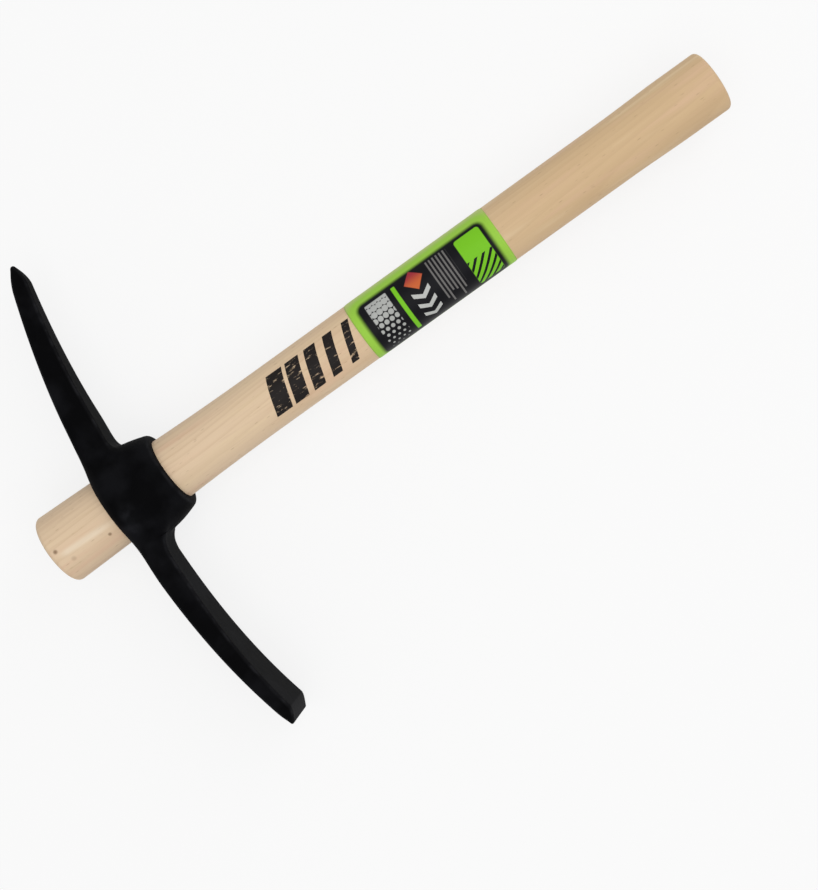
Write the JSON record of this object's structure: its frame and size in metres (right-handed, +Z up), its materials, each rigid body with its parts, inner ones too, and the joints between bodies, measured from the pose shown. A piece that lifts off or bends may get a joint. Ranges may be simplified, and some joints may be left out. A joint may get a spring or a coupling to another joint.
{
  "type": "pick axe",
  "caption": "Short hand pick axe: a black forged head with a point and a chisel blade, its tapered eye slipped over the flared end of a round wooden handle with a paper label.",
  "frame": {"origin": "centre of the flat face at the eye end of the handle", "axes": "+X along the handle from the eye end to the butt, +Y towards the point of the head, +Z up, square to the plane of the head and the handle, away from the surface the tool lies on"},
  "size_m": [0.4, 0.268, 0.049],
  "materials": {
    "beech": "pale steamed beech, sanded smooth and thinly lacquered",
    "black_paint": "satin black paint over forged steel",
    "label_paper": "printed paper, light gloss"
  },
  "bodies": {
    "handle": {"handle": "beech", "label": "label_paper"},
    "head": {"head": "black_paint"}
  },
  "joints": [
    {"name": "head_slide", "type": "slide", "parent": "handle", "child": "head", "axis": [1, 0, 0], "range_m": [0, 0.38]}
  ]
}
